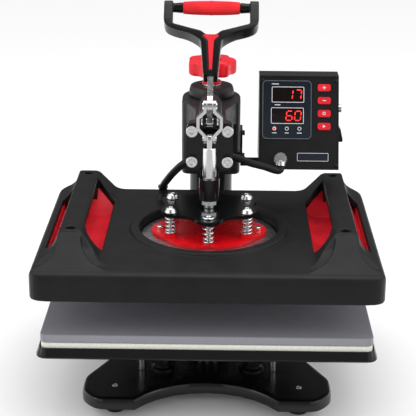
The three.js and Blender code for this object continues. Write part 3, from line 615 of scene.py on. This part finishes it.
# ---------- lever, handle, links and ram ----------
def build_lever():
    edged("lever_bar", "chrome", 0.7)
    moulded("handle_fork", "handle_plastic", 0.75, 4)
    edged("handle_inlay", "red_satin", 0.4)
    ribs = 26

    def ribbed(a, r, z):
        inside = max(0.0, 1 - (abs(z) / 31) ** 10)
        return 1 + 0.026 * inside * max(-0.55, math.cos(ribs * a))

    barrel = [(4.6, -GRIP_END), (7.3, -GRIP_END)]
    barrel += [(8.55 - 0.9 * (z / 33) ** 2 + 0.22 * (abs(z) < 3), z) for z in range(-33, 34)]
    barrel += [(7.3, GRIP_END), (4.6, GRIP_END), (4.6, -GRIP_END)]
    place = LEVER @ Matrix.Translation((0, 0, GRIP_AT)) @ ALONG_X
    mesh = lathe(barrel, ribs * 8, ribbed)
    piece("grip_ribbed", mesh, "red_grip", "handle", ["grip"], place)


def build_links():
    for side in ("right", "left"):
        edged(f"link_{side}", "chrome", 0.7)


def build_ram():
    edged("ram_shaft", "chrome", 0.6)
    edged("ram_nut", "zinc", 0.6)
    edged("pressure_plate", "gloss_black", 0.8)


def helix(radius, z0, z1, turns, steps):
    """Compression spring line whose end coils lie flat."""
    out = []
    for i in range(steps + 1):
        t = i / steps
        s = min(1.0, max(0.0, (t - 0.12) / 0.76))
        rise = s * s * (3 - 2 * s) * 0.35 + s * 0.65
        a = 2 * math.pi * turns * t
        out.append((radius * math.cos(a), radius * math.sin(a), z0 + (z1 - z0) * rise))
    return out


def build_springs():
    for i, (x, y) in enumerate(SPRING_SPOTS, 1):
        seat = SEAT_TOP if i < 5 else RED_TOP
        z0, z1 = seat + 1.4, PLATE_UNDER - 1.4
        mesh = tube(helix(5.9, z0, z1, 5.6, 200), 1.1, 12)
        obj = piece(f"coil_spring_{i}", mesh, "chrome", "ram", [f"spring_{i}"], by_ram(x, y))
        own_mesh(obj)


def build_spring_bolts():
    dome = [
        (7.4, 226.3), (7.4, 227.6), (6.6, 228.6), (6.1, 229.6), (5.6, 231.4), (4.2, 232.5), (2.6, 232.7),
        (2.3, 230.6), (0, 230.6),
    ]
    disc = [(7.6, 226.3), (7.6, 228), (6.8, 228.7), (3.2, 228.7), (2.9, 227), (0, 227)]
    for i, (x, y) in enumerate(SPRING_SPOTS, 1):
        low = (SEAT_TOP if i < 5 else RED_TOP) + 0.3
        bolt = [(0, low), (3.5, low), (3.5, 226.3), *(dome if i < 5 else disc)]
        name = f"spring_bolt_turned_{i}"
        turned(name, bolt, 0.4, 48, "chrome", "platen", by_ram(x, y), [f"spring_bolt_{i}"])


# ---------- platen ----------
BAR_HOLES = [(sx * 160, y) for sx in (-1, 1) for y in (-72, 137)]


def build_cover():
    holes = [(x, y, 5.6, 212 if y > 0 else 214) for x, y in BAR_HOLES]
    moulded("platen_cover", "cover_plastic", 1.2, 5, holes)
    for side in ("right", "left"):
        edged(f"trough_{side}", "red_satin", 0.8)
    for i, (x, y) in enumerate(BAR_HOLES, 1):
        z = 213 if y > 0 else 215
        head = [(0, z), (1.6, z), (1.8, z + 1.4), (3.6, z + 1.2), (4.4, z), (4.4, z - 2), (0, z - 2)]
        turned(f"bar_screw_{i}", head, 0.3, 32, "zinc", "platen", by_ram(x, y))


def build_plates():
    edged("spring_plate", "red_paint", 0.7)
    edged("recess_plate", "satin_steel", 0.5)
    edged("heating_plate", "heat_plate", 0.5)
    rim = [
        (84.2, 193), (84.2, 201.2), (85.4, 202.6), (95, 202.6), (97, 200.6), (97.2, 199.2), (93, 199),
        (88, 193), (84.2, 193),
    ]
    turned("ring_bezel", rim, 0.6, 160, "cover_plastic", "platen", RAM)


def build_plate_screws():
    head = [(0, 199.6), (3.6, 199.6), (4.6, 199), (4.6, 195.8), (0, 195.8)]
    for i, x in enumerate((-60, 60), 1):
        turned(f"lobe_bolt_{i}", head, 0.3, 36, "chrome", "platen", by_ram(x, 7.5))
    pan = [(0, 193.2), (1.5, 193.2), (1.8, 194.2), (3.4, 193.9), (4, 191.7), (0, 191.7)]
    for i, x in enumerate((-57, 57), 1):
        turned(f"floor_screw_{i}", pan, 0.3, 32, "chrome", "platen", by_ram(x, -46))


# ---------- control box ----------
SEGMENTS = {
    "a": ((0.12, 1.0), (0.88, 1.0)), "b": ((1.0, 0.94), (1.0, 0.56)), "c": ((1.0, 0.44), (1.0, 0.06)),
    "d": ((0.12, 0.0), (0.88, 0.0)), "e": ((0.0, 0.44), (0.0, 0.06)), "f": ((0.0, 0.94), (0.0, 0.56)),
    "g": ((0.12, 0.5), (0.88, 0.5)),
}
DIGITS = {"0": "abcdef", "1": "bc", "6": "acdefg", "7": "abc"}
LAMPS = (19.1, 34.8, 50.6)  # status lamps, across the face
LAMPS_DOWN = 67.7


def bar_mesh(a, b, half, y0, y1):
    """One lit segment: a slim bar with pointed ends."""
    a, b = Vector(a), Vector(b)
    along = (b - a).normalized()
    across = Vector((-along.y, along.x)) * half
    tip = along * half
    upper = [a - tip * 0.2, a + tip + across, b - tip + across]
    lower = [b + tip * 0.2, b - tip - across, a + tip - across]
    points = upper + lower
    return slab([tuple(p) for p in points], y0, y1, 0.05)


def digit_meshes(text, right, low, width, height, half):
    """The lit bars of a number that ends at `right` and stands on `low`."""
    meshes = []
    for place, char in enumerate(reversed(text)):
        x0 = right - width - place * (width * 1.45)
        slant = 0.12 * height
        for key in DIGITS[char]:
            ends = [(x0 + u * width + v * slant, low + v * height) for u, v in SEGMENTS[key]]
            meshes.append(bar_mesh(*ends, half, -1.45, -1.2))
    return meshes


def face_x(u):
    """Panel x from millimetres across the face, left to right."""
    return u - 50


def face_z(v):
    """Panel z from millimetres down the face, top to bottom."""
    return BOX_SLOPE - v


def frame_outline(x0, x1, z0, z1, r, thick, y0, y1):
    """Thin printed border: the ring between two rounded rectangles."""
    outer = round_rect(x0, x1, z0, z1, r)
    inner = round_rect(x0 + thick, x1 - thick, z0 + thick, z1 - thick, max(0.1, r - thick))
    n = len(outer)
    verts = [(x, y, z) for shape in (outer, inner) for y in (y1, y0) for x, z in shape]
    quads = []
    for i in range(n):
        j = (i + 1) % n
        quads.append([n + i, n + j, 3 * n + j, 3 * n + i])
        quads.append([i, j, n + j, n + i])
        quads.append([2 * n + i, 2 * n + j, 3 * n + j, 3 * n + i])
        quads.append([i, j, 2 * n + j, 2 * n + i])
    return outward(mesh_from(verts, quads, smooth=False))


def build_display():
    edged("display_overlay", "overlay_film", 0.25)
    windows, digits, borders = [], [], []
    for u0, u1, v0, v1, text in ((15.7, 56.3, 14.4, 34.5, "17"), (14.9, 55.9, 41, 61.5, "60")):
        x0, x1, z0, z1 = face_x(u0), face_x(u1), face_z(v1), face_z(v0)
        windows.append(slab(round_rect(x0 + 1, x1 - 1, z0 + 1, z1 - 1, 1), -1.2, -0.85, 0.1))
        borders.append(frame_outline(x0, x1, z0, z1, 1.2, 0.7, -1.15, -0.85))
        digits += digit_meshes(text, x1 - 4.4, z0 + 4.2, 7.4, 11.8, 0.62)
    borders += [slab(lamp_outline(u, 2.4, 24), -1.1, -0.85, 0.1) for u in LAMPS]
    edge = frame_outline(face_x(4.3), face_x(65.4), face_z(80.6), face_z(6.6), 5, 0.5, -1.05, -0.85)
    piece("display_windows", merged(windows), "display_window", "arm", (), FACE)
    piece("display_digits", merged(digits), "lit_segment", "arm", (), FACE)
    piece("display_borders", merged(borders), "white_print", "arm", (), FACE)
    piece("overlay_border", edge, "grey_print", "arm", (), FACE)


def lamp_outline(u, radius, steps):
    """Round outline on the lamps' line."""
    return arc(face_x(u), face_z(LAMPS_DOWN), radius, 0, 360, steps)[:-1]


def build_lamps():
    for i, u in enumerate(LAMPS):
        lamp = "lit_segment" if i == 0 else "display_window"
        dot = slab(lamp_outline(u, 1.6, 20), -1.3, -1.0, 0.1)
        piece(f"status_lamp_{i + 1}", dot, lamp, "arm", (), FACE)


def build_captions():
    """Plain dashes where captions would be printed."""
    marks = []
    for u, v, w in ((20, 11, 9), (23, 37.6, 7), (19.1, 73.2, 6), (34.8, 73.2, 5), (50.6, 73.2, 6)):
        dash = round_rect(face_x(u - w / 2), face_x(u + w / 2), face_z(v + 0.5), face_z(v - 0.5), 0.3, 3)
        marks.append(slab(dash, -1.05, -0.85, 0.08))
    piece("caption_dashes", merged(marks), "white_print", "arm", (), FACE)


def symbol(kind, x, z):
    """Printed symbol on a button's face, as thin plates."""
    y0, y1 = -1.85, -1.55

    def bar(half_w, half_h):
        left, right, low, high = x - half_w, x + half_w, z - half_h, z + half_h
        return slab([(left, low), (right, low), (right, high), (left, high)], y0, y1, 0.06)

    if kind == "plus":
        return [bar(2.1, 0.5), bar(0.5, 2.1)]
    if kind == "minus":
        return [bar(2.1, 0.5)]
    if kind == "ring":
        return [frame_outline(x - 2, x + 2, z - 2, z + 2, 1.99, 0.7, y0, y1)]
    return [slab([(x - 1.6, z - 1.9), (x + 2, z), (x - 1.6, z + 1.9)], y0, y1, 0.06)]


def build_buttons():
    kinds = {"plus_button": "plus", "minus_button": "minus", "mode_button": "ring", "start_button": "play"}
    for i, (body, kind) in enumerate(kinds.items()):
        edged(f"button_{i + 1}", "red_satin", 0.7)
        mesh = merged(symbol(kind, face_x(81.5), 104 - i * 16.4))
        piece(f"button_symbol_{i + 1}", mesh, "white_print", body, (), FACE)


def build_box():
    edged("box_shell", "panel_black", 1.1)
    edged("front_panel", "panel_black", 0.5)
    edged("power_switch", "handle_plastic", 0.6)
    edged("fuse_cap", "chrome", 0.6)
    edged("cable_plug", "zinc", 0.35)
    badge = slab(round_rect(face_x(47.5), face_x(87.3), face_z(109), face_z(97.9), 1.2), -0.9, 0.2, 0.3)
    piece("badge_plate", badge, "overlay_film", "arm", (), FACE)
    rim = frame_outline(face_x(47.9), face_x(86.9), face_z(108.6), face_z(98.3), 1, 0.5, -1.1, -0.8)
    piece("badge_border", rim, "white_print", "arm", (), FACE)


def build_panel_screws():
    pan = [(0, 1.5), (1.2, 1.5), (2.2, 1.3), (2.8, 0.2), (2.8, -0.6), (0, -0.6)]
    spots = [(x, z) for z in (6, BOX_SLOPE - 6) for x in (-46.4, 46.4)]
    for i, (x, z) in enumerate(spots, 1):
        place = FACE @ Matrix.Translation((x, 0, z)) @ ALONG_Y
        turned(f"panel_screw_{i}", pan, 0.3, 24, "panel_black", "arm", place)


# ---------- heater cable ----------
# The route of part.mjs, in the ram's frame, carried on from there into the strain relief on the cover.
CABLE_ROUTE = [
    (88, 50.6, 261.2), (87.4, 49.6, 259.4), (84.6, 48.4, 258.6), (78.6, 46.8, 260.4), (69, 44.8, 264.4),
    (59.5, 43, 267.4), (50, 42, 270.2), (36, 42.5, 275.4), (18, 43, 279.4), (0, 43.2, 280),
    (-16, 42.8, 277.6), (-27, 44, 271.4), (-38, 54, 260), (-48, 71, 245), (-55, 88, 231.5),
]
PLUG_END = (88, 52.2, 263.8)
CABLE_R = 4.7
CABLE_END = [(-59.5, 102, 221.5), (-61.5, 111, 214.5), (-61.8, 114, 208)]


def build_cable():
    """One soft lead from the plug on the arm's box to the gland, which goes down with the ram."""
    points = spline([PLUG_END, *CABLE_ROUTE, *CABLE_END], 10)
    mesh = tube(points, CABLE_R, 20)
    mesh.transform(TO_METRES @ RAM)
    obj = piece("heater_lead", mesh, "cable_rubber", None, ["heater_cable"])
    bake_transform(obj)
    lean = Matrix.Rotation(math.radians(-18), 4, "X")
    height = 214
    place = by_ram(*GLAND) @ Matrix.Translation((0, 0, height)) @ lean @ Matrix.Translation((0, 0, -height))
    sleeve = [(4.9, 212.5), (6.6, 212.5), (6.4, 214.5), (5.6, 217), (4.9, 217), (4.9, 212.5)]
    turned("cable_boot", sleeve, 0.4, 32, "black_rubber", "platen", place)


# ---------- stage ----------
FLOOR_COLOR = (0.9, 0.9, 0.9)
CARD_COLOR = (0.004, 0.004, 0.004)


def card(name, corners, color, emission=0.0):
    """Flat studio card of one plain colour."""
    mesh = mesh_from(corners, [[0, 1, 2, 3]], smooth=False)
    obj = bpy.data.objects.new(name, mesh)
    bpy.context.scene.collection.objects.link(obj)
    material = bpy.data.materials.new(name)
    material.use_nodes = True
    shader = material.node_tree.nodes["Principled BSDF"]
    shader.inputs["Base Color"].default_value = (*color, 1)
    shader.inputs["Roughness"].default_value = 1.0
    shader.inputs["Specular IOR Level"].default_value = 0.0
    shader.inputs["Emission Color"].default_value = (1, 1, 1, 1)
    shader.inputs["Emission Strength"].default_value = emission
    mesh.materials.append(material)
    return obj


def reflected_card(name, corners, emission):
    """A card that shows only in reflections: unseen by the camera, and casting nothing."""
    obj = card(name, corners, CARD_COLOR, emission)
    obj.visible_camera = False
    obj.visible_diffuse = False
    obj.visible_shadow = False
    obj.visible_transmission = False


def wall(x, y, z0, z1):
    """Corners of an upright card facing along Y."""
    return [(-x, y, z0), (x, y, z0), (x, y, z1), (-x, y, z1)]


def softbox(name, position, target, size, power):
    light = bpy.data.lights.new(name, "AREA")
    light.shape = "RECTANGLE"
    light.size, light.size_y = size
    light.energy = power
    obj = bpy.data.objects.new(name, light)
    bpy.context.scene.collection.objects.link(obj)
    obj.location = position
    obj.rotation_euler = (Vector(target) - Vector(position)).to_track_quat("-Z", "Y").to_euler()


def build_stage():
    card("floor", [(-6, -6, 0), (6, -6, 0), (6, 6, 0), (-6, 6, 0)], FLOOR_COLOR)
    floor_flag = [(-0.8, -2.4, 0.002), (0.8, -2.4, 0.002), (0.8, -0.25, 0.002), (-0.8, -0.25, 0.002)]
    roof_flag = [(-0.8, -2.4, 2.0), (0.8, -2.4, 2.0), (0.8, -0.5, 2.8), (-0.8, -0.5, 2.8)]
    reflected_card("floor_flag", floor_flag, 0.62)
    reflected_card("front_flag", wall(0.9, -2.4, 0, 2.0), 0.3)
    reflected_card("roof_flag", roof_flag, 0.12)
    reflected_card("rear_card", wall(3, 2.2, 0, 1.9), 0.16)


def build_light():
    world = bpy.data.worlds.new("studio")
    world.use_nodes = True
    background = world.node_tree.nodes["Background"]
    background.inputs["Color"].default_value = (1, 1, 1, 1)
    background.inputs["Strength"].default_value = 1.0
    bpy.context.scene.world = world
    bpy.context.scene.view_settings.view_transform = "Standard"
    softbox("top_soft", (0.1, 0.1, 1.9), (0, 0, 0.2), (1.4, 1.0), 9)
    softbox("left_soft", (-1.5, -0.7, 0.9), (0, 0, 0.25), (0.8, 1.4), 7)
    softbox("right_soft", (1.5, -0.7, 0.9), (0, 0, 0.25), (0.8, 1.4), 7)


def build_camera():
    pitch, yaw, roll = 0.33666, -0.012248, 0.0074546
    forward = Vector((math.sin(yaw) * math.cos(pitch), math.cos(yaw) * math.cos(pitch), -math.sin(pitch)))
    right = Vector((math.cos(yaw), -math.sin(yaw), 0))
    up = right.cross(forward)
    turned_right = right * math.cos(roll) + up * math.sin(roll)
    turned_up = up * math.cos(roll) - right * math.sin(roll)
    data = bpy.data.cameras.new("camera")
    data.sensor_width = 36
    data.lens = LENS_MM
    data.clip_end = 50
    obj = bpy.data.objects.new("camera", data)
    bpy.context.scene.collection.objects.link(obj)
    axes = Matrix((turned_right, turned_up, -forward)).transposed().to_4x4()
    obj.matrix_world = Matrix.Translation((0.01708, -1.49847 + RAM_Y * MM, 0.74975)) @ axes
    bpy.context.scene.camera = obj


build_camera()
build_base()
build_column()
build_studs()
build_base_screws()
build_tray()
build_arm()
build_knob()
build_lever()
build_links()
build_ram()
build_springs()
build_spring_bolts()
build_cover()
build_plates()
build_plate_screws()
build_box()
build_panel_screws()
build_display()
build_lamps()
build_captions()
build_buttons()
build_cable()
build_stage()
build_light()
